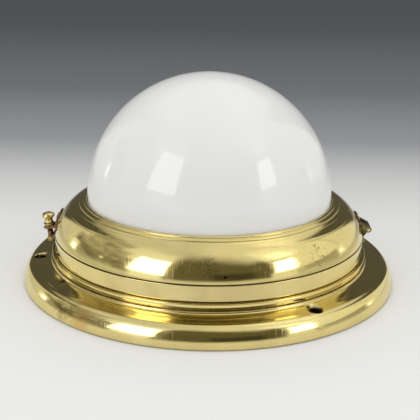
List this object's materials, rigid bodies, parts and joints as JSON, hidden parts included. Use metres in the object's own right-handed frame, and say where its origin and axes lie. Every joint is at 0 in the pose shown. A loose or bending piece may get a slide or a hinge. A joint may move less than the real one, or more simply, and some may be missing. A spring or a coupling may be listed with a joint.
{
  "type": "ceiling lamp",
  "caption": "Round brass ceiling lamp: an opal glass globe in a rounded bezel that hinges off a drum on a wide flange and is shut by a swing bolt with a thumb nut.",
  "frame": {"origin": "centre of the flange's rim, in the plane that lies against the ceiling, which is the lowest plane when the lamp stands globe up", "axes": "+Z along the lamp's axis from the ceiling plane to the top of the globe, +X towards the hinge, -X towards the swing bolt"},
  "size_m": [0.306, 0.306, 0.169],
  "materials": {
    "flange_brass": "polished, tarnished in the cove and round the rim",
    "drum_brass": "polished, turned",
    "bezel_brass": "polished, spun",
    "fitting_brass": "cast and filed, tarnished",
    "bright_brass": "turned, bright",
    "contact_brass": "pressed, plain",
    "opal_glass": "glossy opal",
    "white_enamel": "glossy enamel",
    "zinc_steel": "zinc plated",
    "porcelain": "glazed porcelain",
    "black_rubber": "matt",
    "felt": "grey-brown felt",
    "red_lead": "matt",
    "black_lead": "matt",
    "bulb_glass": "frosted",
    "bulb_metal": "plain",
    "black_glass": "glossy"
  },
  "bodies": {
    "base": {"base_flange": "flange_brass", "drum": "drum_brass", "back_plate": "white_enamel", "plate_screws": "zinc_steel", "plate_nuts": "zinc_steel", "cable_grommet": "black_rubber", "lampholder_body": "porcelain", "lampholder_shell": "contact_brass", "centre_contact": "contact_brass", "lampholder_screws": "zinc_steel", "holder_terminals": "contact_brass", "terminal_block": "porcelain", "terminal_inserts": "contact_brass", "terminal_screws": "contact_brass", "block_screw": "zinc_steel", "live_lead": "red_lead", "neutral_lead": "black_lead", "earth_screw": "bright_brass", "hinge_leaf_base": "fitting_brass", "hinge_rivets_base": "bright_brass", "hinge_pin": "bright_brass", "bolt_bracket": "fitting_brass", "bracket_rivets": "bright_brass", "pivot_pin": "bright_brass"},
    "bezel": {"bezel": "bezel_brass", "glass_dome": "opal_glass", "glass_gasket": "black_rubber", "glass_ring": "bezel_brass", "ring_lugs": "bezel_brass", "ring_screws": "bright_brass", "bezel_seal": "felt", "hinge_leaf_bezel": "fitting_brass", "hinge_rivets_bezel": "bright_brass", "fork_lug": "fitting_brass", "lug_rivets": "bright_brass"},
    "bolt": {"swing_bolt": "bright_brass"},
    "washer": {"nut_washer": "bright_brass"},
    "nut": {"thumb_nut": "bright_brass"},
    "bulb": {"bulb_glass": "bulb_glass", "bulb_cap": "bulb_metal", "bulb_insulator": "black_glass", "bulb_contact": "bulb_metal", "filament": "bulb_glass"}
  },
  "joints": [
    {"name": "bezel_hinge", "type": "hinge", "parent": "base", "child": "bezel", "pos_m": [0.1319, 0, 0.042], "axis": [0, 1, 0], "range_deg": [0, 110]},
    {"name": "bolt_swing", "type": "hinge", "parent": "base", "child": "bolt", "pos_m": [-0.1318, 0, 0.029], "axis": [0, -1, 0], "range_deg": [0, 95]},
    {"name": "washer_travel", "type": "slide", "parent": "bolt", "child": "washer", "axis": [-0.0958, 0, 0.9954], "range_m": [0, 0.0024]},
    {"name": "nut_turn", "type": "hinge", "parent": "washer", "child": "nut", "pos_m": [-0.13304, 0, 0.04184], "axis": [-0.0958, 0, 0.9954], "range_deg": [0, 1081]},
    {"name": "bulb_turn", "type": "hinge", "parent": "base", "child": "bulb", "pos_m": [0, 0, 0.05], "axis": [0, 0, 1], "range_deg": [0, 720]}
  ],
  "couplings": [
    {"joint": "nut_turn", "follows": "washer_travel", "rad_per_m": 7854}
  ]
}
